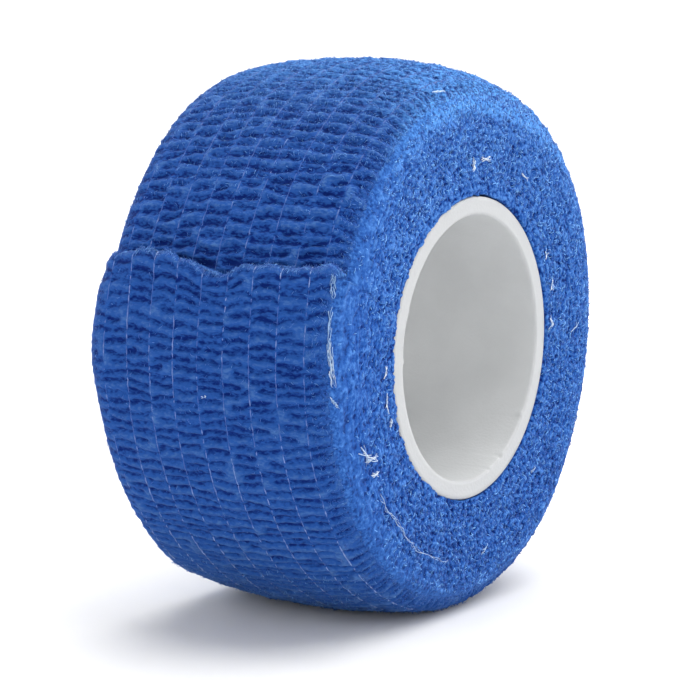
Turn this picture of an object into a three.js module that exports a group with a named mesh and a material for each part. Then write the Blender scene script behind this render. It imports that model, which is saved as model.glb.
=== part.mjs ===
// A cohesive bandage roll: crinkled elastic tape wound on a plastic core, lying on its round side.
// Millimetres, +Z up. The roll's axis runs along Y, one end face looks to -Y, and the cut edge of
// the loose end is on the -X side. The origin is under the middle of the roll, on the surface it
// rests on.
import * as THREE from 'three';

// The wound tape.
const TREAD_RADIUS = 24;        // at mid-width, halfway round the last turn
const WOUND_WIDTH = 23.8;       // from one end face to the other
const CROWN_DROP = 1.2;         // the tread is this much lower at the shoulders than at mid-width
const SHOULDER_RADIUS = 2.2;    // rounding between the tread and each end face
const TURN_STEP = 1.5;          // growth of the spiral in one turn
const FLAT_DEPTH = 0.5;         // the roll's own weight presses its lowest side in by this much

// The loose end. Its cut edge stands a little off the turn below.
const EDGE_ANGLE = 160.6;       // degrees from +X towards +Z
const END_THICKNESS = 1.2;
const EDGE_LIFT = 0.6;          // on top of the gap that is left under it all over
const LOOSE_SHARE = 0.035;      // share of a turn that isn't pressed down
const WAVE_SHARE = 0.05;        // share of a turn over which the edge's waves die away

// The crinkles across the tape: a crest and a trough each, fainter on the shoulders.
const CRINKLES = 144;
const CRINKLE_HEIGHT = 0.2;     // from the mean surface to a crest
const CRINKLE_DRIFT = 0.9;      // degrees that the crests shift from one strip to the next

// The tape has elastic threads along it, which draw it in between ten strips. Each strip has its
// place across the roll and the height of the cut edge above its mean line there.
const STRIPS = [
  { y: -10.8, rise: 1.0 },
  { y: -8.7, rise: 0.2 },
  { y: -6.3, rise: 0.4 },
  { y: -3.9, rise: 0.0 },
  { y: -1.4, rise: -0.8 },
  { y: 1.0, rise: 0.0 },
  { y: 3.5, rise: 0.75 },
  { y: 5.9, rise: 0.85 },
  { y: 8.3, rise: 0.65 },
  { y: 10.6, rise: 0.6 },
];
const SHOULDER_SLOPE = 62;      // degrees round the shoulder, where each end's outer thread lies

// The tape's far edge is fluffed up at one place, low on the side with the loose end.
const FLUFF = { angle: 236, y: 10.6, height: 1.0, round: 11, across: 2.6 };

// The core, a short plain tube that sits slightly below the middle of the winding.
const CORE_RADIUS = 13;
const CORE_WALL = 1.55;
const CORE_LENGTH = 23.4;
const CORE_BEVEL = 0.2;
const CORE_DROP = 0.8;
const CORE_CLEARANCE = 0.3;     // between the core and the tape's bore
const CORE_SIDES = 72;

const LOOSE_STEPS = 5;
const BOTTOM_ANGLE = 270;
const FLAT_ANGLE = 10;          // degrees each side of the bottom without crinkles
const FLAT_FADE = 4;            // degrees over which they come back

const BLUE = new THREE.Color(0.05, 0.18, 0.6);
const WHITE = new THREE.Color(0.78, 0.78, 0.79);

function clamp01(value) {
  return Math.min(1, Math.max(0, value));
}

// Radius of the wound tape's surface, a share of a turn on from the cut edge.
function spiralRadius(turn) {
  return TREAD_RADIUS + TURN_STEP * (0.5 - turn);
}

// How much lower the surface is at a place across the width: crown first, then shoulder.
function profileDrop(y) {
  const crown = CROWN_DROP * (2 * y / WOUND_WIDTH) ** 2;
  const past = Math.max(0, Math.abs(y) - (WOUND_WIDTH / 2 - SHOULDER_RADIUS));
  const share = clamp01(past / SHOULDER_RADIUS);
  return crown + SHOULDER_RADIUS * (1 - Math.sqrt(1 - share ** 2));
}

// Height of the fluffed-up place, which spreads in degrees round the roll and in mm across it.
function fluffHeight(angle, y) {
  const round = (angle - FLUFF.angle) / FLUFF.round;
  const across = (y - FLUFF.y) / FLUFF.across;
  return FLUFF.height * Math.exp(-(round ** 2) - across ** 2);
}

// The rows of points across the width, from one end face to the other.
function rowsAcross() {
  const slope = THREE.MathUtils.degToRad(SHOULDER_SLOPE);
  const thread = WOUND_WIDTH / 2 - SHOULDER_RADIUS * (1 - Math.sin(slope));
  const first = STRIPS[0].rise;
  const last = STRIPS[STRIPS.length - 1].rise;
  const strips = STRIPS.map((strip) => ({ ...strip, relief: 1 }));
  return [
    { y: -WOUND_WIDTH / 2, rise: first, relief: 0 },
    { y: -thread, rise: first, relief: 0.5 },
    ...strips,
    { y: thread, rise: last, relief: 0.5 },
    { y: WOUND_WIDTH / 2, rise: last, relief: 0 },
  ];
}

// The columns of points round the roll: over the last turn, in under the loose end on the turn
// below, and back along the loose end's underside to its cut edge.
function columnsRound() {
  const columns = [];
  const steps = 2 * CRINKLES;
  for (let i = 0; i < steps; i++) {
    columns.push({ turn: i / steps, depth: 0, crest: i % 2 ? -1 : 1 });
  }
  for (let i = 0; i <= LOOSE_STEPS; i++) {
    columns.push({ turn: 1 + LOOSE_SHARE * i / LOOSE_STEPS, depth: 0, crest: 0 });
  }
  for (let i = LOOSE_STEPS; i >= 0; i--) {
    columns.push({ turn: LOOSE_SHARE * i / LOOSE_STEPS, depth: END_THICKNESS, crest: 0 });
  }
  return columns;
}

const FLOOR = FLAT_DEPTH - spiralRadius((BOTTOM_ANGLE - EDGE_ANGLE) / 360);

// One point of the tape's surface, round the roll's own axis.
function tapePoint(row, column) {
  const { turn } = column;
  const nearEdge = clamp01(1 - turn / WAVE_SHARE);
  const wave = THREE.MathUtils.radToDeg(row.rise / TREAD_RADIUS) * nearEdge;
  const drift = CRINKLE_DRIFT * Math.sin(2.1 * row.y + 6 * turn) * Math.abs(column.crest);
  const settled = clamp01(turn / LOOSE_SHARE) * clamp01((1 - turn) / LOOSE_SHARE);
  const angle = EDGE_ANGLE + 360 * turn - wave + drift * settled;
  const offFlat = clamp01((Math.abs(angle - BOTTOM_ANGLE) - FLAT_ANGLE) / FLAT_FADE);
  const crinkle = CRINKLE_HEIGHT * column.crest * row.relief * offFlat;
  const lift = EDGE_LIFT * clamp01(1 - turn / LOOSE_SHARE) ** 2;
  const raised = lift + crinkle + fluffHeight(angle, row.y);
  const radius = spiralRadius(turn) + raised - column.depth - profileDrop(row.y);
  const theta = THREE.MathUtils.degToRad(angle);
  return [radius * Math.cos(theta), row.y, Math.max(FLOOR, radius * Math.sin(theta))];
}

// A ring of points of the tape's bore at one end face.
function borePoint(y, i) {
  const theta = 2 * Math.PI * i / CORE_SIDES;
  const radius = CORE_RADIUS + CORE_CLEARANCE;
  return [radius * Math.cos(theta), y, radius * Math.sin(theta) - CORE_DROP];
}

// The triangles of an end face, between the tape's outline and its bore, in the winding that
// looks to -Y. They number the outline's points first and the bore's after them.
function endTriangles(outline, bore) {
  const flat = ([x, , z]) => new THREE.Vector2(x, z);
  return THREE.ShapeUtils.triangulateShape(outline.map(flat), [bore.map(flat)]);
}

// The whole tape as one closed mesh.
function woundTape() {
  const rows = rowsAcross();
  const columns = columnsRound();
  const width = columns.length;
  const points = rows.flatMap((row) => columns.map((column) => tapePoint(row, column)));
  const faces = [];
  for (let r = 0; r + 1 < rows.length; r++) {
    for (let c = 0; c < width; c++) {
      const a = r * width + c;
      const b = r * width + (c + 1) % width;
      faces.push([a, a + width, b], [b, a + width, b + width]);
    }
  }
  const ends = [0, rows.length - 1].map((r) => ({
    first: r * width,
    bore: points.length + (r ? CORE_SIDES : 0),
    y: rows[r].y,
  }));
  for (const end of ends) {
    for (let i = 0; i < CORE_SIDES; i++) {
      points.push(borePoint(end.y, i));
    }
  }
  for (const end of ends) {
    const outline = points.slice(end.first, end.first + width);
    const bore = points.slice(end.bore, end.bore + CORE_SIDES);
    const place = (i) => (i < width ? end.first + i : end.bore + i - width);
    for (const triangle of endTriangles(outline, bore)) {
      const [a, b, c] = triangle.map(place);
      faces.push(end.y < 0 ? [a, b, c] : [a, c, b]);
    }
  }
  for (let i = 0; i < CORE_SIDES; i++) {
    const a = ends[0].bore + i;
    const b = ends[0].bore + (i + 1) % CORE_SIDES;
    faces.push([a, b, a + CORE_SIDES], [b, b + CORE_SIDES, a + CORE_SIDES]);
  }
  const geometry = new THREE.BufferGeometry();
  geometry.setAttribute('position', new THREE.Float32BufferAttribute(points.flat(), 3));
  geometry.setIndex(faces.flat());
  geometry.computeVertexNormals();
  return geometry;
}

// The core's wall turned round the roll's axis, with a small bevel on each edge.
function coreTube() {
  const inner = CORE_RADIUS - CORE_WALL;
  const half = CORE_LENGTH / 2;
  const outline = [
    [inner, CORE_BEVEL - half], [inner + CORE_BEVEL, -half],
    [CORE_RADIUS - CORE_BEVEL, -half], [CORE_RADIUS, CORE_BEVEL - half],
    [CORE_RADIUS, half - CORE_BEVEL], [CORE_RADIUS - CORE_BEVEL, half],
    [inner + CORE_BEVEL, half], [inner, half - CORE_BEVEL],
    [inner, CORE_BEVEL - half],
  ];
  const profile = outline.map(([r, y]) => new THREE.Vector2(r, y));
  return new THREE.LatheGeometry(profile, CORE_SIDES);
}

const tape = new THREE.Mesh(
  woundTape(),
  new THREE.MeshStandardMaterial({ color: BLUE, roughness: 0.9, metalness: 0 }),
);
tape.name = 'wound_tape';

const core = new THREE.Mesh(
  coreTube(),
  new THREE.MeshStandardMaterial({ color: WHITE, roughness: 0.45, metalness: 0 }),
);
core.name = 'core';
core.position.z = -CORE_DROP;

const roll = new THREE.Group();
roll.add(tape, core);

// The roll stands over the origin: its flat side at z = 0, its width and depth centred.
const box = new THREE.Box3().setFromObject(roll, true);
const centre = box.getCenter(new THREE.Vector3());
roll.position.set(-centre.x, -centre.y, -box.min.z);

const part = new THREE.Group();
part.add(roll);

export default part;
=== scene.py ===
import math

import bpy
import numpy as np
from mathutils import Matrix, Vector


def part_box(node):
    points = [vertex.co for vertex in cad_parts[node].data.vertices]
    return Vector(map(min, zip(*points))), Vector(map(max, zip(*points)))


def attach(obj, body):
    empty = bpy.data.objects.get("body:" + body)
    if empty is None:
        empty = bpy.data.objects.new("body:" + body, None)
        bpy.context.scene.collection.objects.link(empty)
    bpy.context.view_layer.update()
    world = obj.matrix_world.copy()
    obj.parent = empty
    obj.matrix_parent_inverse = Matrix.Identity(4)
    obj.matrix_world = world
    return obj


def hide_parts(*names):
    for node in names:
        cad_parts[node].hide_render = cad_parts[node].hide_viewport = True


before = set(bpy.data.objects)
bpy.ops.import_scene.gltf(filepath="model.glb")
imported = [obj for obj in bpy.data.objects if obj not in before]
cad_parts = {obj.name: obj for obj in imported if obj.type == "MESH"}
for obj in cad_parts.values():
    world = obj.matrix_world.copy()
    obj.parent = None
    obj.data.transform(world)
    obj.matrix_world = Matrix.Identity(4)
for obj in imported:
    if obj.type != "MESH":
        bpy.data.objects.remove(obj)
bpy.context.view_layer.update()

# Camera. It looks at the cut edge of the tape and the near end face from a little above, through a
# long lens. Sizes are in millimetres about the winding's own axis, which runs along Y a little
# above the middle of the core.
MM = 0.001
CORE_DROP = 0.8
VIEW_AZIMUTH = math.radians(-57.8)
VIEW_ELEVATION = math.radians(8.6)
VIEW_DISTANCE = 263.4
VIEW_ASIDE = -1.4
VIEW_BELOW = -1.0
LENS = 159.3

core_low, core_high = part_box("core")
axis = (np.array(core_low) + np.array(core_high)) / (2 * MM) + [0, 0, CORE_DROP]

back = Vector((
    math.sin(VIEW_AZIMUTH) * math.cos(VIEW_ELEVATION),
    -math.cos(VIEW_AZIMUTH) * math.cos(VIEW_ELEVATION),
    math.sin(VIEW_ELEVATION),
))
right = Vector((math.cos(VIEW_AZIMUTH), math.sin(VIEW_AZIMUTH), 0))
up = back.cross(right)
camera = bpy.data.objects.new("camera", bpy.data.cameras.new("camera"))
camera.data.lens = LENS
camera.data.sensor_width = 36
camera.data.clip_start = 0.01
camera.data.clip_end = 20
camera.location = Vector(axis * MM) + MM * (
    back * VIEW_DISTANCE + right * VIEW_ASIDE + up * VIEW_BELOW
)
camera.rotation_mode = "QUATERNION"
camera.rotation_quaternion = (-back).to_track_quat("-Z", "Y")
bpy.context.collection.objects.link(camera)
bpy.context.scene.camera = camera


# Studio. A pale floor that sweeps up into a wall all round, a large soft light above it and a
# smaller one to one side. None of it belongs to the roll.
class Socket:
    """A socket of a finish, so that masks and heights are added and multiplied like numbers."""

    def __init__(self, finish, link):
        self.finish = finish
        self.link = link

    def maths(self, operation, first, second):
        return self.finish.node("ShaderNodeMath", {"operation": operation}, {0: first, 1: second})

    def __add__(self, other):
        return self.maths("ADD", self, other)

    __radd__ = __add__

    def __sub__(self, other):
        return self.maths("SUBTRACT", self, other)

    def __rsub__(self, other):
        return self.maths("SUBTRACT", other, self)

    def __mul__(self, other):
        return self.maths("MULTIPLY", self, other)

    __rmul__ = __mul__


class Finish:
    """One of the scene's materials and the nodes that make it."""

    def __init__(self, name, **settings):
        self.material = bpy.data.materials.new(name)
        self.material.use_nodes = True
        self.tree = self.material.node_tree
        self.shader = self.tree.nodes["Principled BSDF"]
        for key, value in settings.items():
            self.feed(self.shader.inputs[key.replace("_", " ")], value)

    def feed(self, socket, value):
        if isinstance(value, Socket):
            self.tree.links.new(value.link, socket)
        else:
            socket.default_value = value

    def node(self, kind, settings=None, sockets=None, output=0):
        """A node of a kind with its settings, then its sockets' values or links."""
        made = self.tree.nodes.new(kind)
        for key, value in (settings or {}).items():
            setattr(made, key, value)
        for key, value in (sockets or {}).items():
            self.feed(made.inputs[key], value)
        return Socket(self, made.outputs[output])

    def mix(self, share, first, second):
        """A colour between two, by a share from 0 to 1."""
        settings = {"data_type": "RGBA", "clamp_factor": True}
        return self.node("ShaderNodeMix", settings, {0: share, 6: first, 7: second}, output=2)

    def step(self, value, low, high):
        """A smooth rise from 0 at low to 1 at high."""
        settings = {"interpolation_type": "SMOOTHSTEP"}
        sockets = {0: value, 1: low, 2: high}
        return self.node("ShaderNodeMapRange", settings, sockets)

    def grain(self, size, detail=2.0, stretch=(1, 1, 1)):
        """Random values of about 0 to 1 in lumps of a size in mm, the same from any side."""
        place = self.node("ShaderNodeTexCoord", output="Object")
        scaled = self.node("ShaderNodeVectorMath", {"operation": "MULTIPLY"}, {0: place, 1: stretch})
        sockets = {"Vector": scaled, "Scale": 1 / (size * MM), "Detail": detail}
        return self.node("ShaderNodeTexNoise", {}, sockets, output="Fac")

    def bump(self, height, distance):
        """The shader's normal from a height, which is a distance in mm where it is 1."""
        sockets = {"Height": height, "Distance": distance * MM, "Strength": 1.0}
        self.feed(self.shader.inputs["Normal"], self.node("ShaderNodeBump", {}, sockets))


FLOOR_RADIUS = 1.2
SWEEP_RADIUS = 0.8
WALL_TOP = 2.0

paper = Finish("studio_paper", Base_Color=(0.8, 0.8, 0.8, 1), Roughness=0.9)
paper.bump(paper.grain(0.6), 0.01)

sweep = [(radius, 0.0) for radius in (0.0, 0.3, 0.6, 0.9, FLOOR_RADIUS)]
for i in range(1, 13):
    slope = math.radians(90 * i / 12)
    rise = SWEEP_RADIUS * (1 - math.cos(slope))
    sweep.append((FLOOR_RADIUS + SWEEP_RADIUS * math.sin(slope), rise))
sweep.append((FLOOR_RADIUS + SWEEP_RADIUS, WALL_TOP))
SWEEP_SIDES = 96
sweep_points = [(0, 0, 0)]
for radius, height in sweep[1:]:
    for i in range(SWEEP_SIDES):
        turn = math.tau * i / SWEEP_SIDES
        sweep_points.append((radius * math.cos(turn), radius * math.sin(turn), height))
sweep_faces = [(0, 1 + i, 1 + (i + 1) % SWEEP_SIDES) for i in range(SWEEP_SIDES)]
for ring in range(len(sweep) - 2):
    first = 1 + ring * SWEEP_SIDES
    for i in range(SWEEP_SIDES):
        j = (i + 1) % SWEEP_SIDES
        sweep_faces.append((first + i, first + SWEEP_SIDES + i, first + SWEEP_SIDES + j, first + j))
sweep_mesh = bpy.data.meshes.new("studio_sweep")
sweep_mesh.from_pydata(sweep_points, [], sweep_faces)
sweep_mesh.shade_smooth()
sweep_mesh.materials.append(paper.material)
studio_sweep = bpy.data.objects.new("studio_sweep", sweep_mesh)
bpy.context.collection.objects.link(studio_sweep)


def soft_light(name, azimuth, elevation, distance, size, power):
    """A square area light that looks at the roll from a direction given as the camera's is."""
    around, above = math.radians(azimuth), math.radians(elevation)
    towards = Vector((
        math.sin(around) * math.cos(above),
        -math.cos(around) * math.cos(above),
        math.sin(above),
    ))
    lamp = bpy.data.objects.new(name, bpy.data.lights.new(name, "AREA"))
    lamp.data.size = size
    lamp.data.energy = power
    lamp.location = Vector(axis * MM) + towards * distance
    lamp.rotation_mode = "QUATERNION"
    lamp.rotation_quaternion = (-towards).to_track_quat("-Z", "Y")
    bpy.context.collection.objects.link(lamp)


soft_light("overhead_light", azimuth=75, elevation=64, distance=2.4, size=3.6, power=148)
soft_light("near_light", azimuth=35, elevation=30, distance=1.2, size=0.8, power=1.3)

world = bpy.data.worlds.new("studio_air")
bpy.context.scene.world = world
world.use_nodes = True
world.node_tree.nodes["Background"].inputs["Color"].default_value = (0.97, 0.98, 1, 1)
world.node_tree.nodes["Background"].inputs["Strength"].default_value = 0.16
bpy.context.scene.view_settings.view_transform = "Standard"


# Wound turns. The tape is wound tight on the core, and its slit edges make the two end faces: a
# felt of nubs, pits and faint rings, smoother and paler where it rounds over to the tread. The last
# turn lies over it as a piece of its own.
TREAD_RADIUS = 24.0
WOUND_WIDTH = 23.8
CROWN_DROP = 1.2
SHOULDER_RADIUS = 2.2
TURN_STEP = 1.5
EDGE_ANGLE = 160.6
LOOSE_SHARE = 0.035
TAPE_THICKNESS = 1.1
EDGE_LIFT = 0.6
NEAR_EDGE = -12.75
FAR_EDGE = 12.45
BORE_RADIUS = 13.2
LAYER_STEP = 0.6
# The place on the near face's left side, in mm, that gets painted shade and fewer fibre glints.
DIM_SIDE_PLACE = -20.0
UNDER_DEPTH = 1.2
BORE_REACH = 11.2
FACE_BULGE = 0.15
FACE_DISH = 0.12
RIM_PALE = {-1: 0.45, 1: 0.3}

# The winding isn't quite round: places in degrees and mm across, with their height and spread.
UNEVEN = [
    {"angle": 236, "across": 11.9, "height": 0.3, "round": 11, "spread": 2.6},
    {"angle": 80, "across": -13.0, "height": -0.8, "round": 26, "spread": 5.0},
    {"angle": 143, "across": 9.0, "height": -0.4, "round": 20, "spread": 8.0},
    {"angle": 305, "across": -13.0, "height": 0.45, "round": 18, "spread": 4.0},
    {"angle": 28, "across": -13.0, "height": 0.35, "round": 18, "spread": 5.0},
    {"angle": 98, "across": 8.0, "height": -0.22, "round": 20, "spread": 6.0},
]

BODY_COLUMNS = 800
NEAR_FACE_ROWS = 60
FAR_FACE_ROWS = 34

profile_y = WOUND_WIDTH / 2 * np.sin(np.linspace(-math.pi / 2, math.pi / 2, 721))
past_shoulder = np.clip((abs(profile_y) - WOUND_WIDTH / 2) / SHOULDER_RADIUS + 1, 0, 1)
profile_fall = CROWN_DROP * (2 * profile_y / WOUND_WIDTH) ** 2
profile_fall += SHOULDER_RADIUS * (1 - np.sqrt(1 - past_shoulder ** 2))
profile_step = np.hypot(np.diff(profile_y), np.diff(profile_fall))
profile_across = np.concatenate([[0], np.cumsum(profile_step)])
profile_across -= profile_across[-1] / 2
normal_y = np.gradient(profile_fall, profile_across)
normal_out = np.gradient(profile_y, profile_across)


def spiral_radius(turn):
    """Radius of the tape's outside at mid-width, a share of a turn on from the cut edge."""
    return TREAD_RADIUS + TURN_STEP * (0.5 - turn)


def rounded(angle, across, turn, height):
    """Points at a height off the wound tape's outside, at a place across its width."""
    out = spiral_radius(turn) - np.interp(across, profile_across, profile_fall)
    for place in UNEVEN:
        away = (angle - place["angle"] + 180) % 360 - 180
        beside = (across - place["across"]) / place["spread"]
        out = out + place["height"] * np.exp(-(away / place["round"]) ** 2 - beside ** 2)
    out = out + height * np.interp(across, profile_across, normal_out)
    y = np.interp(across, profile_across, profile_y)
    y = y + height * np.interp(across, profile_across, normal_y)
    theta = np.radians(angle)
    corners = np.broadcast_arrays(out * np.cos(theta), y, out * np.sin(theta))
    return np.stack(corners, axis=-1)


def lumps(u, v, seed):
    """A smooth random field of about -1 to 1, in lumps one unit across."""
    turns = np.random.default_rng(seed).uniform(0, math.tau, (64, 64))
    low_u, low_v = np.floor(u).astype(int), np.floor(v).astype(int)
    part_u, part_v = u - low_u, v - low_v
    ease_u = part_u ** 3 * (part_u * (part_u * 6 - 15) + 10)
    ease_v = part_v ** 3 * (part_v * (part_v * 6 - 15) + 10)

    def slope(step_u, step_v):
        way = turns[(low_u + step_u) % 64, (low_v + step_v) % 64]
        return np.cos(way) * (part_u - step_u) + np.sin(way) * (part_v - step_v)

    low = slope(0, 0) * (1 - ease_u) + slope(1, 0) * ease_u
    high = slope(0, 1) * (1 - ease_u) + slope(1, 1) * ease_u
    return 1.6 * (low * (1 - ease_v) + high * ease_v)


def smooth(value, low, high):
    """A smooth rise from 0 at low to 1 at high."""
    share = np.clip((value - low) / (high - low), 0, 1)
    return share * share * (3 - 2 * share)


def face_relief(x, z, share, side):
    """Height, lightness and smoothing of an end face's felt, from the bore, 0, to the rim, 1."""
    seed = 10 if side < 0 else 20
    radius = np.hypot(x, z)
    rings = np.sin(math.tau * (radius / LAYER_STEP - np.arctan2(z, x) / math.tau)
                   + 2.5 * lumps(x / 2.2, z / 2.2, seed))
    nubs = lumps(x / 0.4, z / 0.4, seed + 1)
    fine = lumps(x / 0.26, z / 0.26, seed + 2)
    pits = smooth(lumps(x / 0.5 + 7, z / 0.5, seed + 3), 0.2, 0.7)
    broad = lumps(x / 2.6, z / 2.6, seed + 4)
    soft = lumps(x / 1.0, z / 1.0, seed + 5)
    rim = smooth(share, 0.7, 0.95)
    # Smoother felt near the rim. On the face's left side, fewer flecks stand for the glints that the
    # light doesn't make there.
    worn = np.clip(0.42 * np.exp(-((x - DIM_SIDE_PLACE) / 6) ** 2) + 0.25 * rim, 0, 0.55)
    felt = 0.08 * nubs + 0.09 * fine - 0.1 * pits
    height = felt * (1 - worn) + 0.1 * soft + 0.1 * broad + 0.04 * rings * (1 - worn)
    # Darker in the pits and lighter on the nubs: painted shade and light, along with the felt's own
    # flecks.
    light = (0.55 * nubs + 0.5 * fine - 0.5 * pits) * (1 - worn)
    # The last term paints the face's top lighter and its bottom darker, because light falls from
    # above.
    light = light + 0.68 + 0.14 * rings * (1 - worn) + 0.14 * broad + 0.1 * z / TREAD_RADIUS
    light = light + (0.2 + 0.2 * worn) * soft + 0.5 * worn * lumps(x / 0.6, z / 0.6, seed + 6)
    # Painted shade on the face's left side.
    light = light - 0.12 * np.exp(-((x - DIM_SIDE_PLACE) / 5) ** 2)
    return height, np.clip(light, 0, 1.2), worn


def loose_lift(turn, across):
    """How far the loose end stands off the turn below. Its far corner has sunk back onto it."""
    lift = EDGE_LIFT * np.clip(1 - turn / LOOSE_SHARE, 0, 1) ** 2
    along = turn * math.tau * TREAD_RADIUS
    sunk = 0.95 * np.exp(-(along / 2) ** 2) - 0.35 * np.exp(-((along - 8) / 4) ** 2)
    pressed = 0.4 * np.exp(-(along / 3) ** 2 - ((across + 1.4) / 2.6) ** 2)
    return lift - sunk * smooth(across, 6.5, 12.0) - pressed


def top_sheen(x, z):
    """How much painted sheen lies on top of the roll at a place, from 0 to 1, for light caught by the
    fuzz there.
    """
    return smooth(z / TREAD_RADIUS + 0.15 * x / TREAD_RADIUS, 0.45, 1.05)


def turn_at(angle):
    """Share of a turn on from the cut edge."""
    return ((angle - EDGE_ANGLE) % 360) / 360


def under_turn(angle):
    """Share of a turn on the turn below, which carries the loose end."""
    turn = turn_at(angle)
    return np.where(turn < LOOSE_SHARE + 0.01, turn + 1, turn)


def face_points(x, z, side, lift=0.0):
    """Points of an end face, a height above its felt, and its lightness, paleness and smoothing there.
    """
    angle = np.degrees(np.arctan2(z, x))
    turn = turn_at(angle)
    edge = NEAR_EDGE if side < 0 else FAR_EDGE
    rim = rounded(angle, edge, turn, loose_lift(turn, edge))
    rim_radius = np.hypot(rim[..., 0], rim[..., 2])
    bore = np.hypot(x, z + CORE_DROP) - BORE_RADIUS
    share = bore / np.maximum(bore + rim_radius - np.hypot(x, z), 0.1)
    height, light, worn = face_relief(x, z, share, side)
    nearly_bore = smooth(share, 0.04, 0.0)
    nearly_rim = smooth(share, 0.88, 1.0)
    out = WOUND_WIDTH / 2 + FACE_BULGE * np.exp(-((share - 0.7) / 0.2) ** 2)
    out = out - FACE_DISH * (1 - share)
    out = out + (abs(rim[..., 1]) - WOUND_WIDTH / 2) * nearly_rim ** 2 - 0.06 * nearly_bore
    out = out + height * (1 - 0.7 * nearly_rim) + lift
    pale = smooth(share, 0.65, 0.95) * RIM_PALE[side]
    # Painted sheen on the face's rim at the top of the roll.
    pale = pale + 0.55 * top_sheen(x, z) * smooth(share, 0.74, 0.98)
    return np.stack([x, side * out, z], axis=-1), light, pale, worn


def quads(rows, columns, around=True, closed=True):
    """Faces of a grid of points, which may join up round the roll and round its section."""
    row = np.arange(rows if closed else rows - 1)[:, None]
    column = np.arange(columns if around else columns - 1)[None, :]
    a = row * columns + column
    b = row * columns + (column + 1) % columns
    c = ((row + 1) % rows) * columns + (column + 1) % columns
    d = ((row + 1) % rows) * columns + column
    return np.stack([a, b, c, d], axis=-1).reshape(-1, 4)


def make_piece(name, points, faces, finish, **marks):
    """A smooth piece from points in mm about the winding's axis, with marks for its finish."""
    mesh = bpy.data.meshes.new(name)
    mesh.from_pydata(((points.reshape(-1, 3) + axis) * MM).tolist(), [], faces)
    for key, value in marks.items():
        mark = mesh.attributes.new(key, "FLOAT", "POINT")
        mark.data.foreach_set("value", np.asarray(value, dtype=np.float32).ravel())
    mesh.shade_smooth()
    mesh.materials.append(finish.material)
    piece = bpy.data.objects.new(name, mesh)
    bpy.context.collection.objects.link(piece)
    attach(piece, "root")
    return piece


# The crease blue is painted shade for creases and pits. The fuzz blue serves both the pale fuzz of the
# felted edges and the painted sheen on top.
CREASE_BLUE = (0.0025, 0.016, 0.135, 1)
FELT_BLUE = (0.0145, 0.078, 0.335, 1)
PALE_BLUE = (0.075, 0.218, 0.59, 1)
FUZZ_AND_SHEEN_BLUE = (0.12, 0.38, 0.86, 1)


def cloth_finish(name, body, crest, grain_size, stretch, speckle, roughness):
    """Nonwoven cloth flecked with fibres, with painted shade in its creases and pits and painted light
    on its crests.
    """
    finish = Finish(name, Roughness=0.85, Sheen_Weight=0.12, Sheen_Roughness=0.4)
    finish.shader.inputs["Specular IOR Level"].default_value = 0.05
    finish.shader.inputs["Sheen Tint"].default_value = (0.5, 0.7, 1, 1)
    light = finish.node("ShaderNodeAttribute", {"attribute_name": "light"}, output="Fac")
    pale = finish.node("ShaderNodeAttribute", {"attribute_name": "pale"}, output="Fac")
    worn = finish.node("ShaderNodeAttribute", {"attribute_name": "worn"}, output="Fac")
    fibres = finish.grain(grain_size, detail=3.0, stretch=stretch)
    flecks = (finish.step(fibres, 0.32, 0.68) - 0.5) * (1 - worn)
    tone = light + flecks * (speckle + pale * 0.2)
    deep = finish.mix(finish.step(tone, 0.0, 0.5), CREASE_BLUE, body)
    lit = finish.mix(finish.step(tone, 0.45, 1.2) * 0.9 + pale * 0.22, deep, crest)
    # Pale fuzz of the felted edges, and painted sheen on top where the pale mark is high.
    fuzz_and_sheen = finish.step(pale, 0.35, 1.15) * finish.step(tone, -0.1, 0.8)
    fuzz_and_sheen = fuzz_and_sheen * (0.6 + 0.35 * finish.step(fibres, 0.32, 0.66))
    fuzz_and_sheen_colour = finish.mix(fuzz_and_sheen, lit, FUZZ_AND_SHEEN_BLUE)
    finish.feed(finish.shader.inputs["Base Color"], fuzz_and_sheen_colour)
    finish.bump(fibres * (1 - worn), roughness)
    return finish


felt = cloth_finish("felted_edges", FELT_BLUE, PALE_BLUE, 0.24, (1, 1, 1), 0.68, 0.14)

body_angle = EDGE_ANGLE + np.arange(BODY_COLUMNS) * 360 / BODY_COLUMNS
body_theta = np.radians(body_angle)

# Rows that go in under the last turn: how far in from the edge, and their height.
tucked = [(0.25, -0.01), (0.5, -0.05), (0.8, -0.13), (1.15, -0.3)]
under_across = np.linspace(NEAR_EDGE + 1.6, FAR_EDGE - 1.6, 6)
body_rows, body_light, body_pale, body_worn = [], [], [], []


def add_body_row(points, light, pale, worn=0.2):
    body_rows.append(points)
    body_light.append(np.broadcast_to(light, BODY_COLUMNS))
    body_pale.append(np.broadcast_to(pale, BODY_COLUMNS))
    body_worn.append(np.broadcast_to(worn, BODY_COLUMNS))


def add_tucked_rows(edge, side, rows):
    """Rows of an end face's felt that go on round the shoulder and in under the last turn."""
    turn = turn_at(body_angle)
    for inward, height in rows:
        rough = lumps(body_angle / 1.2, np.full(BODY_COLUMNS, 5.5 + inward * 3), 25)
        points = rounded(
            body_angle, edge - side * inward, turn, loose_lift(turn, edge) + height + 0.06 * rough,
        )
        # Painted sheen on the shoulder at the top of the roll.
        pale = RIM_PALE[side] + 0.55 * top_sheen(points[:, 0], points[:, 2])
        # Painted shade: the rows that go in under the last turn are darker.
        add_body_row(points, 0.5 + 0.3 * rough, pale)


def add_bore_row(radius, y):
    x = radius * np.cos(body_theta)
    z = radius * np.sin(body_theta) - CORE_DROP
    # The cloth in the bore is painted dark, as shade.
    add_body_row(np.stack([x, np.full(BODY_COLUMNS, y), z], axis=-1), 0.2, 0.0)


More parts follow.
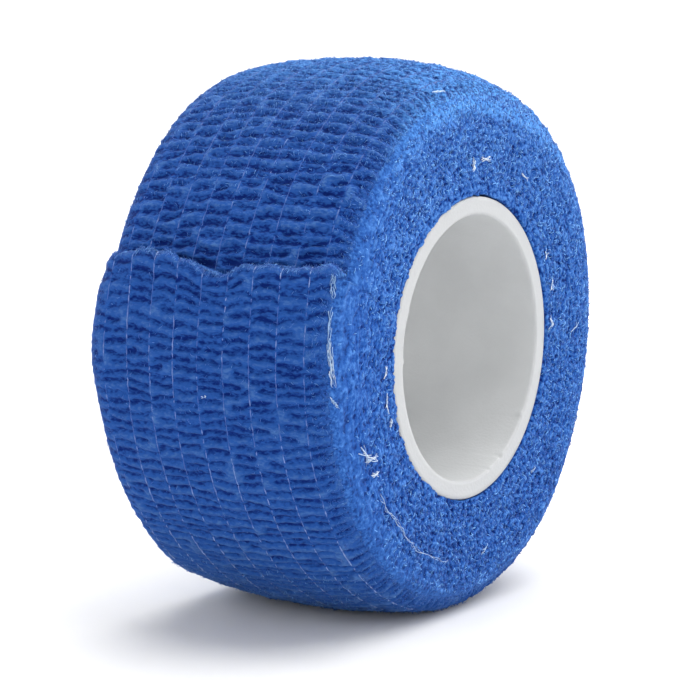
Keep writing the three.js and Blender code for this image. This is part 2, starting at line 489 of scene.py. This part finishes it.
bore_edge = 13.1 + 0.14 * np.cos(body_theta) + 0.1 * lumps(body_angle / 6, 0 * body_angle + 2.5, 26)
bore_edge = bore_edge + 0.06 * lumps(body_angle / 2, 0 * body_angle + 7.5, 27)
add_bore_row(BORE_RADIUS, -BORE_REACH)
for side, rows in ((-1, NEAR_FACE_ROWS), (1, FAR_FACE_ROWS)):
    edge = NEAR_EDGE if side < 0 else FAR_EDGE
    turn = turn_at(body_angle)
    rim = rounded(body_angle, edge, turn, loose_lift(turn, edge))
    if side > 0:
        add_tucked_rows(edge, side, tucked[::-1])
    for share in np.linspace(0, 1, rows)[::-side]:
        x = bore_edge * np.cos(body_theta) * (1 - share) + rim[:, 0] * share
        z = (bore_edge * np.sin(body_theta) - CORE_DROP) * (1 - share) + rim[:, 2] * share
        add_body_row(*face_points(x, z, side))
    if side < 0:
        add_tucked_rows(edge, side, tucked)
        for across in under_across:
            # Painted shade under the last turn.
            add_body_row(rounded(body_angle, across, under_turn(body_angle), -UNDER_DEPTH), 0.3, 0.0)
add_bore_row(BORE_RADIUS, BORE_REACH)
wound_turns = make_piece(
    "wound_turns", np.array(body_rows), quads(len(body_rows), BODY_COLUMNS).tolist(), felt,
    light=body_light, pale=body_pale, worn=body_worn,
)
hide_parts("wound_tape")


# Last turn. One strip of the crinkled tape, cut square by hand and laid down on the turn below, so
# its end is loose. Ten strips between elastic threads have crinkles of their own, and the cut edge
# is scalloped between the threads.
THREAD_PITCH = 2.447
FIRST_THREAD = -12.43
STRIPS = 10
CRINKLE_PITCH = 0.9
CREST_HEIGHT = 0.27
CREASE_DEPTH = 0.17
SHORT_SHARE = 0.08
EDGE_RISES = [1.0, 0.2, 0.4, 0.0, -0.8, 0.0, 0.75, 0.85, 0.65, 0.6]
SCALLOP = 0.3
TURN_LENGTH = math.tau * TREAD_RADIUS
TAPE_LENGTH = TURN_LENGTH * (1 + LOOSE_SHARE)
TAPE_COLUMNS = 1060

# Where the rows of points lie in each strip, from one thread to the next.
CELL_ROWS = [0, 0.09, 0.22, 0.36, 0.5, 0.64, 0.78, 0.91]

# The crinkles are coarser on top and round the back than at the front.
COARSER = 0.35
measure = np.linspace(-3, TAPE_LENGTH + 3, 900)
measure_pitch = 1 + COARSER * smooth(measure / TURN_LENGTH, 0.62, 0.84)
measure_phase = np.concatenate([[0], np.cumsum(np.diff(measure) / measure_pitch[1:])]) + measure[0]

crease_random = np.random.default_rng(3)
crease_count = int(TAPE_LENGTH / CRINKLE_PITCH) + 8
shared_steps = crease_random.normal(CRINKLE_PITCH, 0.1, crease_count)
strip_creases = []
for strip in range(STRIPS):
    places = np.cumsum(shared_steps) - 4 * CRINKLE_PITCH
    places = places + crease_random.normal(0, 0.13, crease_count)
    places = places + 0.5 * lumps(places / 9, np.full(crease_count, strip * 1.7 + 0.5), 31)
    gaps = np.clip(np.diff(np.sort(places)), 0.62, 1.04)
    places = places[0] + np.concatenate([[0], np.cumsum(gaps)])
    late = crease_random.random(crease_count) < SHORT_SHARE
    starts = np.where(late, crease_random.uniform(-0.8, -0.2, crease_count), -2)
    early = crease_random.random(crease_count) < SHORT_SHARE
    ends = np.where(early, crease_random.uniform(0.2, 0.8, crease_count), 2)
    short = ends < starts + 0.5
    strip_creases.append({
        "place": places,
        "start": np.where(short, -2, starts),
        "end": ends,
        "depth": crease_random.uniform(0.32, 0.98, crease_count),
        "width": crease_random.uniform(0.22, 0.36, crease_count),
    })


def strip_relief(along, across, strip):
    """Height and lightness of one strip: rounded crests between creases that slant and bow."""
    crease = strip_creases[strip]
    middle = FIRST_THREAD + THREAD_PITCH * (strip + 0.5)
    c = np.clip((across - middle) / (THREAD_PITCH / 2), -1.3, 1.3)
    slant = 0.32 * lumps(along / 1.7, strip * 3.3 + 0.4 + 0 * along, 32)
    bow = 0.3 * lumps(along / 1.5, strip * 2.9 + 0.7 + 0 * along, 33)
    place = np.interp(along, measure, measure_phase) + slant * c + bow * (c * c - 0.33)
    place = place + 0.13 * lumps(along / 1.1, across / 0.9, 34)
    after = np.clip(np.searchsorted(crease["place"], place), 2, crease_count - 2)
    sunk = np.zeros(along.shape)
    cut = np.zeros(along.shape)
    for step in (-2, -1, 0, 1):
        i = after + step
        apart = place - crease["place"][i]
        reach = smooth(c, crease["start"][i] - 0.25, crease["start"][i] + 0.25)
        reach = reach * smooth(c, crease["end"][i] + 0.25, crease["end"][i] - 0.25)
        width = crease["width"][i] * (1.1 - 0.45 * c * c)
        sunk = np.maximum(sunk, reach * np.exp(-(apart / 0.36) ** 2))
        cut = np.maximum(cut, reach * crease["depth"][i] * np.exp(-(apart / width) ** 2))
    # The lightness paints shade into the creases and light onto the crests.
    return CREST_HEIGHT * (1 - sunk) - CREASE_DEPTH * cut, 0.8 - 0.46 * sunk - 0.3 * cut


def tape_relief(along, across):
    """Height and lightness of the tape's crinkled outside at places on it."""
    along, across = np.broadcast_arrays(np.asarray(along, float), np.asarray(across, float))
    cell = (across - FIRST_THREAD) / THREAD_PITCH
    apart = (cell - np.round(cell)) * THREAD_PITCH
    height = np.zeros(along.shape)
    light = np.zeros(along.shape)
    for strip in range(STRIPS):
        part = np.ones(along.shape)
        if strip > 0:
            part = part * smooth(cell, strip - 0.05, strip + 0.05)
        if strip < STRIPS - 1:
            part = part * smooth(cell, strip + 1.05, strip + 0.95)
        here = part > 0
        strip_height, strip_light = strip_relief(along[here], across[here], strip)
        height[here] += part[here] * strip_height
        light[here] += part[here] * strip_light
    rough = lumps(along / 0.55, across / 0.5, 35)
    wrinkles = lumps(along / 0.36, across / 1.1, 39)
    height = height + 0.05 * rough + 0.03 * wrinkles + 0.05 * lumps(along / 5, across / 4, 36)
    light = light + 0.12 * rough + 0.1 * wrinkles + 0.2 * np.exp(-(along / 0.4) ** 2)
    # Painted shade on the turn below, where it goes in under the loose end.
    light = light - 0.3 * smooth(along, TURN_LENGTH - 1.8, TURN_LENGTH - 0.3)
    # Painted light low on the front, for light bounced up from the floor.
    light = light + 0.2 * np.exp(-((along - 37) / 13) ** 2)
    coarse = np.interp(along, measure, measure_pitch)
    height = height * coarse * (1 - 0.5 * smooth(across, 7.5, 10.5))
    height = height + 0.16 * np.exp(-((along - 0.8) / 0.6) ** 2)
    drawn_in = np.exp(-(apart / (0.2 + 0.6 * (coarse - 1))) ** 2)
    height = height * (1 - 0.85 * drawn_in) + 0.05 * drawn_in
    felted = smooth(abs(across), 10.8, 12.5)
    nubs = lumps(along / 0.34, across / 0.34, 30)
    height = height * (1 - felted) + (0.08 * rough + 0.11 * nubs) * felted
    height = height - 0.25 * smooth(abs(across), 11.9, 12.7)
    light = light * (1 - 0.7 * felted) + (0.56 + 0.35 * rough + 0.4 * nubs) * 0.7 * felted
    return height - 0.1, light


def tape_points(along, across, lift=0.0, depth=0.0, relief=None):
    """Points on the last turn or at a depth in it, and how light it is there."""
    along, across = np.broadcast_arrays(np.asarray(along, float), np.asarray(across, float))
    turn = along / TURN_LENGTH
    height, light = tape_relief(along, across) if relief is None else relief
    cell = np.clip((across - FIRST_THREAD) / THREAD_PITCH, 0, STRIPS)
    rise = np.interp(cell, np.arange(STRIPS) + 0.5, EDGE_RISES)
    rise = rise + SCALLOP * (np.sin(math.pi * (cell % 1)) ** 0.7 - 0.6)
    rise = rise + 0.12 * lumps(across / 0.6, 0 * across + 3.5, 40)
    wave = np.degrees(rise / TREAD_RADIUS) * np.clip(1 - turn / 0.05, 0, 1)
    angle = EDGE_ANGLE + 360 * turn - wave
    under = smooth(turn, 1.004, 1.012)
    height = height * (1 - under)
    height = height - 0.35 * np.clip(1 - along / 0.5, 0, 1) ** 2
    top = np.where(depth > 0, -depth, height + lift) + loose_lift(turn, across)
    points = rounded(angle, across, turn, top)
    points[..., 2] = np.maximum(points[..., 2], -axis[2])
    return points, light


# The crest blue is partly painted light on the crinkles' crests.
BODY_BLUE = (0.016, 0.074, 0.305, 1)
CREST_BLUE = (0.065, 0.156, 0.39, 1)
crinkled = cloth_finish("crinkled_tape", BODY_BLUE, CREST_BLUE, 0.2, (1, 0.45, 1), 0.34, 0.1)

tape_along = np.linspace(0, TAPE_LENGTH, TAPE_COLUMNS)
tape_rows_across = FIRST_THREAD + THREAD_PITCH * np.add.outer(np.arange(STRIPS), CELL_ROWS).ravel()
tape_rows_across = [NEAR_EDGE, NEAR_EDGE + 0.15, *tape_rows_across, FAR_EDGE - 0.2, FAR_EDGE]
TAPE_ROWS = len(tape_rows_across)
section = [(across, 0.0) for across in tape_rows_across]
section.append((FAR_EDGE + 0.12, TAPE_THICKNESS / 2))
section += [(across, TAPE_THICKNESS) for across in np.linspace(FAR_EDGE, NEAR_EDGE, 8)]
section.append((NEAR_EDGE - 0.12, TAPE_THICKNESS / 2))
tape_rows, tape_light, tape_pale, tape_worn = [], [], [], []
for across, depth in section:
    points, light = tape_points(tape_along, across, depth=depth)
    tape_rows.append(points)
    # The tape's slit sides and underside are painted darker, as shade.
    tape_light.append(light if depth == 0 else np.full(TAPE_COLUMNS, 0.4))
    pale_edges_and_low_light = 0.5 * np.exp(-(tape_along / 0.5) ** 2)
    pale_edges_and_low_light = pale_edges_and_low_light + smooth(abs(across), 10.5, 12.3) * (0.4 if across < 0 else 0.25)
    # Painted light low on the tread's far half, for light bounced up from the floor.
    pale_edges_and_low_light = pale_edges_and_low_light + 0.6 * np.exp(-((tape_along - 39) / 6) ** 2) * smooth(across, 1.0, 9.0)
    # How strongly the painted sheen on top shows across the tape, most towards the near edge.
    top_sheen_across = 0.75 + 0.33 * smooth(-across, 4.0, 11.5)
    tape_pale.append(pale_edges_and_low_light + top_sheen_across * top_sheen(points[:, 0], points[:, 2]))
    # Below zero: stronger flecks on the upper tread, as painted glints where light catches the fuzz.
    tape_worn.append(-0.45 * smooth(tape_along / TURN_LENGTH, 0.55, 0.8))
tape_faces = quads(len(section), TAPE_COLUMNS, around=False).tolist()
rows_below = len(section) - TAPE_ROWS
for column, turned in ((0, False), (TAPE_COLUMNS - 1, True)):
    for row in range(TAPE_ROWS - 1):
        below = [
            len(section) - 1 - round((rows_below - 1) * i / (TAPE_ROWS - 1))
            for i in (row + 1, row)
        ]
        corners = [i * TAPE_COLUMNS + column for i in dict.fromkeys([row, row + 1] + below)]
        tape_faces.append(corners if turned else corners[::-1])
last_turn = make_piece(
    "last_turn", np.array(tape_rows), tape_faces, crinkled,
    light=tape_light, pale=tape_pale, worn=tape_worn,
)
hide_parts("wound_tape")


# Core. A short tube of white plastic, sawn square at both ends, on which the tape is wound. Its
# inner rims keep a few burrs from the saw.
CORE_RADIUS = 13.0
CORE_WALL = 1.55
CORE_LENGTH = 23.4
CORE_COLUMNS = 360
BURRS = [
    {"angle": 322, "reach": 0.22, "spread": 1.2},
    {"angle": 297, "reach": -0.25, "spread": 0.9},
    {"angle": 286, "reach": -0.2, "spread": 0.8},
    {"angle": 178, "reach": 0.2, "spread": 1.5},
    {"angle": 158, "reach": 0.12, "spread": 2.5},
]

plastic = Finish("core_plastic", Roughness=0.42)
smears = plastic.grain(5, detail=3.0)
shade = plastic.mix(plastic.step(smears, 0.3, 0.7), (0.52, 0.53, 0.535, 1), (0.56, 0.57, 0.575, 1))
# Painted shade: the end rims, which face the lights, are coloured darker than the bore.
sawn = plastic.node("ShaderNodeAttribute", {"attribute_name": "sawn"}, output="Fac")
shade = plastic.mix(sawn, shade, (0.44, 0.45, 0.46, 1))
plastic.feed(plastic.shader.inputs["Base Color"], shade)
plastic.feed(plastic.shader.inputs["Roughness"], 0.38 + smears * 0.15)
plastic.bump(plastic.grain(0.25) + plastic.grain(1.6), 0.02)

core_angle = np.arange(CORE_COLUMNS) * 360 / CORE_COLUMNS
core_theta = np.radians(core_angle)
inner = CORE_RADIUS - CORE_WALL
half = CORE_LENGTH / 2
core_section = [
    (inner, 0.9 - half, 0.0), (inner, 0.4 - half, 0.3), (inner, 0.12 - half, 1.0),
    (inner + 0.06, -half, 0.8),
    (inner + 0.3, -half, 0.2), (CORE_RADIUS - 0.4, -half, 0.0), (CORE_RADIUS - 0.08, -half, 0.0),
    (CORE_RADIUS, 0.1 - half, 0.0), (CORE_RADIUS, -half / 2, 0.0), (CORE_RADIUS, half / 2, 0.0),
    (CORE_RADIUS, half - 0.1, 0.0), (CORE_RADIUS - 0.08, half, 0.0),
    (CORE_RADIUS - 0.4, half, 0.0), (inner + 0.3, half, 0.2), (inner + 0.06, half, 0.8),
    (inner, half - 0.12, 1.0), (inner, half - 0.35, 0.3), (inner, half / 2, 0.0),
    (inner, 0.0, 0.0), (inner, -half / 2, 0.0),
]
core_rows, core_sawn = [], []
for radius, y, ragged in core_section:
    # The end rims carry the painted shade.
    core_sawn.append(np.full(CORE_COLUMNS, float(abs(y) > half - 0.05)))
    saw = 0.02 * lumps(core_angle / 1.5, np.full(CORE_COLUMNS, 3.5 + y), 41)
    for burr in BURRS:
        away = (core_angle - burr["angle"] + 180) % 360 - 180
        if y < 0:
            saw = saw - burr["reach"] * np.exp(-(away / burr["spread"]) ** 2)
    out = radius + saw * ragged
    core_rows.append(np.stack([
        out * np.cos(core_theta), np.full(CORE_COLUMNS, y), out * np.sin(core_theta) - CORE_DROP,
    ], axis=-1))
core_tube = make_piece(
    "core_tube", np.array(core_rows), quads(len(core_section), CORE_COLUMNS)[:, ::-1].tolist(),
    plastic, sawn=core_sawn,
)
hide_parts("core")


# Elastic threads. Fine spandex yarns run along the tape and hold its crinkles in. They show as
# thin pale lines that dip in and out of the cloth. The two at the slit edges are hidden in the
# felt there.
THREAD_STEP = 0.24
THREAD_RADIUS = 0.055
THREAD_SIDES = 5


def tube_rings(paths, radii, sides):
    """Rings of points round many paths at once: paths by points by sides by coordinates."""
    ahead = np.gradient(paths, axis=1)
    ahead /= np.linalg.norm(ahead, axis=-1, keepdims=True) + 1e-9
    axle = np.zeros_like(ahead)
    axle[..., 1] = 1
    axle[abs(ahead[..., 1]) > 0.8] = (1, 0, 0)
    one = np.cross(ahead, axle)
    one /= np.linalg.norm(one, axis=-1, keepdims=True) + 1e-9
    two = np.cross(ahead, one)
    turn = np.arange(sides) * math.tau / sides
    ring = one[..., None, :] * np.cos(turn)[:, None] + two[..., None, :] * np.sin(turn)[:, None]
    return paths[..., None, :] + ring * radii[..., None, None]


def tube_faces(count, rings, sides):
    """Faces of tubes that are closed at both ends, for points numbered as tube_rings has them."""
    i = np.arange(sides)
    j = (i + 1) % sides
    first = (np.arange(rings - 1) * sides)[:, None]
    walls = np.stack([first + i, first + j, first + sides + j, first + sides + i], axis=-1)
    walls = walls.reshape(-1, 4)
    starts = (np.arange(count) * rings * sides)[:, None]
    faces = (starts[..., None] + walls).reshape(-1, 4).tolist()
    faces += (starts + i[::-1]).tolist()
    faces += (starts + (rings - 1) * sides + i).tolist()
    return faces


def yarn_finish(name, dull, bright):
    """A fine yarn or fibre, whose colour goes from dull to bright with its own mark."""
    finish = Finish(name, Roughness=0.55)
    tint = finish.node("ShaderNodeAttribute", {"attribute_name": "tint"}, output="Fac")
    twist = finish.grain(0.4)
    share = tint + (finish.step(twist, 0.3, 0.7) - 0.5) * 0.5
    finish.feed(finish.shader.inputs["Base Color"], finish.mix(share, dull, bright))
    finish.bump(twist, 0.03)
    return finish


elastic = yarn_finish("elastic_yarn", (0.02, 0.08, 0.33, 1), (0.27, 0.38, 0.68, 1))

thread_along = np.arange(-0.1, TURN_LENGTH + 1.5, THREAD_STEP)
thread_paths, thread_tints = [], []
for thread in range(1, STRIPS):
    across = FIRST_THREAD + THREAD_PITCH * thread
    row = thread * 1.9 + 0 * thread_along
    sway = across + 0.05 * lumps(thread_along / 7, row, 51)
    beside = tape_relief(thread_along, sway + 0.4)[0]
    open_here = smooth(beside, -0.08, 0.06)
    own = tape_relief(thread_along, sway)[0]
    level = own - 0.056 + 0.044 * open_here + 0.025 * lumps(thread_along / 3, row, 52)
    thread_paths.append(tape_points(thread_along, sway, relief=(level, level))[0])
    bright_end = (1.6 if thread < 3 else 0.5) * np.exp(-np.maximum(thread_along, 0) / 0.8)
    glint = lumps(thread_along / 0.8, row, 54) + 0.6 * lumps(thread_along / 6, row, 55)
    # Painted light on the threads low at the front, for light bounced up from the floor.
    low_front = np.exp(-((thread_along - 36) / 14) ** 2)
    high_back = smooth(thread_along, 0.65 * TURN_LENGTH, 0.8 * TURN_LENGTH)
    bright = 0.5 * low_front - 0.1 * high_back + (0.15 + 0.2 * low_front) * open_here
    thread_tints.append(bright + 0.3 * glint + bright_end)
thread_paths = np.array(thread_paths)
thread_radii = np.full(thread_paths.shape[:2], THREAD_RADIUS)
elastic_threads = make_piece(
    "elastic_threads", tube_rings(thread_paths, thread_radii, THREAD_SIDES),
    tube_faces(*thread_paths.shape[:2], THREAD_SIDES), elastic,
    tint=np.repeat(thread_tints, THREAD_SIDES, axis=-1),
)


# Fibres. Fine polyester fibres of the nonwoven stand and curl on every side of the roll, most of
# all on the felted end faces and along the slit and cut edges.
FIBRE_POINTS = 3
FIBRE_SIDES = 3
FACE_FIBRES_FROM = 13.4
FACE_FIBRES_TO = 22.5
fibre_random = np.random.default_rng(8)


def wander(count, length, bend):
    """Paths of fibres in a flat plane, each from its root with a heading and a curl of its own."""
    heading = fibre_random.uniform(0, math.tau, (count, 1))
    heading = heading + np.cumsum(fibre_random.normal(0, bend, (count, FIBRE_POINTS)), axis=1)
    step = fibre_random.uniform(*length, (count, 1)) / (FIBRE_POINTS - 1)
    u = np.cumsum(np.cos(heading) * step, axis=1)
    v = np.cumsum(np.sin(heading) * step, axis=1)
    return u - u[:, :1], v - v[:, :1]


def arch(random, count, bends, height):
    """Heights of fibres above the cloth, from a buried root over an arch to a low tip."""
    share = np.linspace(0, 1, bends)
    tip = random.uniform(-0.3, 1.0, (count, 1))
    rise = np.sin(math.pi * share * 0.75) + share * tip * 0.5
    return random.uniform(*height, (count, 1)) * rise - 0.03


def fibre_piece(random, name, paths, radius, finish, tints):
    """Many fibres as one piece, thinner at their tips."""
    count, bends = paths.shape[:2]
    radii = random.uniform(*radius, (count, 1)) * np.linspace(1.0, 0.5, bends)
    piece = make_piece(
        name, tube_rings(paths, radii, FIBRE_SIDES), tube_faces(count, bends, FIBRE_SIDES), finish,
        tint=np.repeat(tints, bends * FIBRE_SIDES),
    )


fibre = yarn_finish("cloth_fibre", (0.01, 0.08, 0.4, 1), (0.2, 0.48, 0.92, 1))

for name, side, count in (("near_face_fibres", -1, 14000), ("far_face_fibres", 1, 5000)):
    angle = fibre_random.uniform(0, math.tau, (count, 1))
    squared = fibre_random.uniform(FACE_FIBRES_FROM ** 2, FACE_FIBRES_TO ** 2, (count, 1))
    radius = np.sqrt(squared)
    u, v = wander(count, (0.1, 0.45), 0.2)
    x = radius * np.cos(angle) + u
    z = radius * np.sin(angle) + v
    theta = np.degrees(np.arctan2(z, x))
    rim = spiral_radius(turn_at(theta)) - 2.5
    off = (np.hypot(x, z + CORE_DROP) < BORE_RADIUS + 0.1) | (np.hypot(x, z) > rim)
    worn = fibre_random.random(count) < 0.95 * np.exp(-((x[:, 0] + 21) / 8) ** 2)
    keep = ~off.any(axis=1) & ~worn
    x, z = x[keep], z[keep]
    lift = arch(fibre_random, len(x), FIBRE_POINTS, (0.03, 0.13))
    points = face_points(x, z, side, lift)[0]
    # The last term paints the upper fibres lighter, because light falls from above.
    tints = 1.6 * fibre_random.random(len(x)) ** 2 - 0.3 + 0.25 * z[:, 0] / TREAD_RADIUS
    fibre_piece(fibre_random, name, points, (0.03, 0.06), fibre, tints)

# Fibres on the tape: where along it they lie, as a share of a turn, and how far they stand up.
# The top and low rows have brighter tints: painted light from above and from the floor's bounce.
TREAD_FIBRES = [
    {"name": "tread", "count": 3500, "turn": 0.5, "spread": 0.5, "lift": 0.1, "tints": (-0.3, 0.3)},
    {"name": "top", "count": 12000, "turn": 0.8, "spread": 0.17, "lift": 0.2, "tints": (-0.35, 0.6)},
    {"name": "low", "count": 2500, "turn": 0.25, "spread": 0.06, "lift": 0.16, "tints": (-0.3, 0.8)},
    {"name": "lip", "count": 1000, "turn": 0.001, "spread": 0.001, "lift": 0.12, "tints": (-0.3, 0.5)},
    {"name": "slit", "count": 5000, "turn": 0.5, "spread": 0.5, "lift": 0.14, "tints": (-0.3, 0.4)},
]
for row in TREAD_FIBRES:
    count = row["count"]
    u, v = wander(count, (0.12, 0.4), 0.3)
    turn = fibre_random.uniform(-1, 1, (count, 1))
    if row["name"] == "top":
        turn = turn * (0.4 + 0.6 * fibre_random.random((count, 1)))
    along = (row["turn"] + row["spread"] * turn) * TURN_LENGTH + u
    along = np.clip(along, -0.25, TURN_LENGTH)
    across = FAR_EDGE + (NEAR_EDGE - FAR_EDGE) * fibre_random.random((count, 1)) ** 0.75
    if row["name"] == "slit":
        across = fibre_random.uniform(10.4, FAR_EDGE, (count, 1))
        across = across * np.where(fibre_random.random((count, 1)) < 0.65, -1, 1)
    across = np.clip(across + v, NEAR_EDGE, FAR_EDGE)
    lift = arch(fibre_random, count, FIBRE_POINTS, (0.0, row["lift"]))
    points = tape_points(along, across, lift)[0]
    # The last term paints the fibres lighter towards the top, because light falls from above.
    tints = fibre_random.uniform(*row["tints"], count) + 0.2 * points[:, 0, 2] / TREAD_RADIUS
    fibre_piece(fibre_random, row["name"] + "_fibres", points, (0.018, 0.036), fibre, tints)


# Lint. Bits of white thread and a long loose fibre cling to the near end face, and the slit edge's
# own yarn is frayed at the corner of the cut edge.
lint_white = yarn_finish("lint_white", (0.3, 0.5, 0.8, 1), (0.85, 0.9, 0.93, 1))

# Places on the near end face are in mm from the winding's axis, and headings in degrees.
LINT = [
    {"x": -18.05, "z": -7.1, "length": 2.2, "strands": 8, "heading": -43},
    {"x": -16.9, "z": -7.63, "length": 2.4, "strands": 8, "heading": -4},
    {"x": -16.4, "z": -9.0, "length": 1.2, "strands": 6, "heading": -10},
    {"x": -14.6, "z": -0.8, "length": 1.6, "strands": 3, "heading": 100},
    {"x": -14.2, "z": -3.4, "length": 1.8, "strands": 4, "heading": 95},
    {"x": -13.8, "z": -5.2, "length": 0.9, "strands": 9, "heading": 110},
    {"x": -0.4, "z": 15.0, "length": 1.2, "strands": 10, "heading": 80},
    {"x": 1.6, "z": 15.3, "length": 1.9, "strands": 9, "heading": 5},
    {"x": 8.6, "z": 13.2, "length": 1.6, "strands": 3, "heading": -60},
    {"x": 12.9, "z": 6.0, "length": 1.2, "strands": 3, "heading": 80},
    {"x": 13.9, "z": 3.1, "length": 1.4, "strands": 3, "heading": 100},
    {"x": 13.8, "z": -0.2, "length": 1.4, "strands": 4, "heading": 85},
    {"x": 18.1, "z": -1.1, "length": 1.3, "strands": 2, "heading": 70},
    {"x": 10.7, "z": -13.1, "length": 1.0, "strands": 2, "heading": 40},
    {"x": 1.6, "z": -18.6, "length": 1.3, "strands": 2, "heading": 10},
]
LOOSE_FIBRE = [
    (-15.8, -10.6), (-15.1, -11.8), (-13.4, -13.3), (-11.9, -14.6), (-10.8, -15.9), (-9.5, -16.7),
    (-6.3, -18.1), (-4.1, -18.5), (-2.4, -18.9),
]
LINT_POINTS = 7
YARN_POINTS = 40
LOOSE_STRANDS = 7
lint_random = np.random.default_rng(5)
lint_x, lint_z = [], []
for bit in LINT:
    strands = bit["strands"]
    heading = np.radians(bit["heading"]) + lint_random.normal(0, 0.14, (strands, 1))
    heading = heading + np.cumsum(lint_random.normal(0, 0.15, (strands, LINT_POINTS)), axis=1)
    step = bit["length"] * lint_random.uniform(0.4, 1, (strands, 1)) / (LINT_POINTS - 1)
    u = np.cumsum(np.cos(heading) * step, axis=1)
    v = np.cumsum(np.sin(heading) * step, axis=1)
    apart = lint_random.normal(0, 0.055, (2, strands, 1))
    lint_x.append(bit["x"] + u - u.mean(axis=1, keepdims=True) + apart[0])
    lint_z.append(bit["z"] + v - v.mean(axis=1, keepdims=True) + apart[1])
lint_x, lint_z = np.concatenate(lint_x), np.concatenate(lint_z)
count = len(lint_x)
lift = 0.12 + arch(lint_random, count, LINT_POINTS, (0.05, 0.2))
points = face_points(lint_x, lint_z, -1, lift)[0]
tints = lint_random.uniform(0.3, 1, count)
fibre_piece(lint_random, "face_lint", points, (0.025, 0.05), lint_white, tints)

loose = np.array(LOOSE_FIBRE)
loose_share = np.linspace(0, len(loose) - 1, YARN_POINTS)
loose_x, loose_z = [], []
for strand in range(LOOSE_STRANDS):
    whole = (0, len(loose) - 2)
    first, last = sorted(lint_random.uniform(*whole, 2)) if strand else whole
    place = first + (last - first) * loose_share / (len(loose) - 1)
    for corner, line in ((0, loose_x), (1, loose_z)):
        path = sum(
            np.interp(place + shift, np.arange(len(loose)), loose[:, corner])
            for shift in (-0.5, -0.25, 0, 0.25, 0.5)
        ) / 5
        line.append(path + 0.25 * lumps(place * 1.7, np.full(YARN_POINTS, strand + 0.5), 61 + corner))
points = face_points(np.array(loose_x), np.array(loose_z), -1, lift=0.13)[0]
tints = np.linspace(0.6, 0.2, LOOSE_STRANDS)
fibre_piece(lint_random, "loose_fibre", points, (0.015, 0.03), lint_white, tints)

# The slit edge's own yarn, frayed into broken strands below the corner of the cut edge, a bit of
# yarn that lies on top, and small flecks. Places are in degrees round the roll and mm across it.
FRAY = [
    {"from": (161.5, -11.2), "to": (166.5, -11.5), "strands": 14, "share": 0.35, "level": 0.06,
     "apart": 0.13, "tints": (-0.5, 0.1)},
    {"from": (166, -11.4), "to": (177, -11.5), "strands": 8, "share": 0.3, "level": 0.06,
     "apart": 0.13, "tints": (-0.3, 0.3)},
    {"from": (173.5, -11.45), "to": (183.3, -11.75), "strands": 24, "share": 0.3, "level": 0.06,
     "apart": 0.12, "tints": (0.0, 0.9)},
    {"from": (184.3, -11.55), "to": (187.5, -11.85), "strands": 6, "share": 0.6, "level": 0.06,
     "apart": 0.13, "tints": (0.0, 0.6)},
    {"from": (105.4, -10.8), "to": (100.2, -11.1), "strands": 5, "share": 0.7, "level": 0.3,
     "apart": 0.04, "tints": (0.0, 0.8)},
    {"from": (185.2, -0.85), "to": (186.0, -0.8), "strands": 2, "share": 0.5, "level": 0.2,
     "apart": 0.13, "tints": (0.0, 0.6)},
    {"from": (244.4, 11.3), "to": (245.4, 11.5), "strands": 4, "share": 0.7, "level": 0.06,
     "apart": 0.13, "tints": (0.6, 1.2)},
]
fray_along, fray_across, fray_row, fray_level, fray_tints = [], [], [], [], []
for bit in FRAY:
    strands = bit["strands"]
    angle, y = np.transpose([bit["from"], bit["to"]])
    ends = turn_at(angle) * TURN_LENGTH
    sides = np.interp(y, profile_y, profile_across)
    start = lint_random.uniform(0, 1 - bit["share"], (strands, 1))
    place = start + bit["share"] * np.linspace(0, 1, YARN_POINTS)
    row = lint_random.uniform(0, 60, (strands, 1)) + 0 * place
    beside = lint_random.normal(0, 1, (strands, 1)) + 1.15 * lumps(place * 6, row, 63)
    fray_along.append(ends[0] + (ends[1] - ends[0]) * place)
    fray_across.append(sides[0] + (sides[1] - sides[0]) * place + bit["apart"] * beside)
    fray_row.append(row)
    fray_level.append(np.full(row.shape, bit["level"]))
    fray_tints.append(lint_random.uniform(*bit["tints"], strands))
along = np.concatenate(fray_along)
level = np.concatenate(fray_level) + 0.1 * lumps(along * 1.2, np.concatenate(fray_row), 64)
points = tape_points(along, np.concatenate(fray_across), relief=(level, level))[0]
tints = np.concatenate(fray_tints)
fibre_piece(lint_random, "frayed_yarn", points, (0.02, 0.045), lint_white, tints)
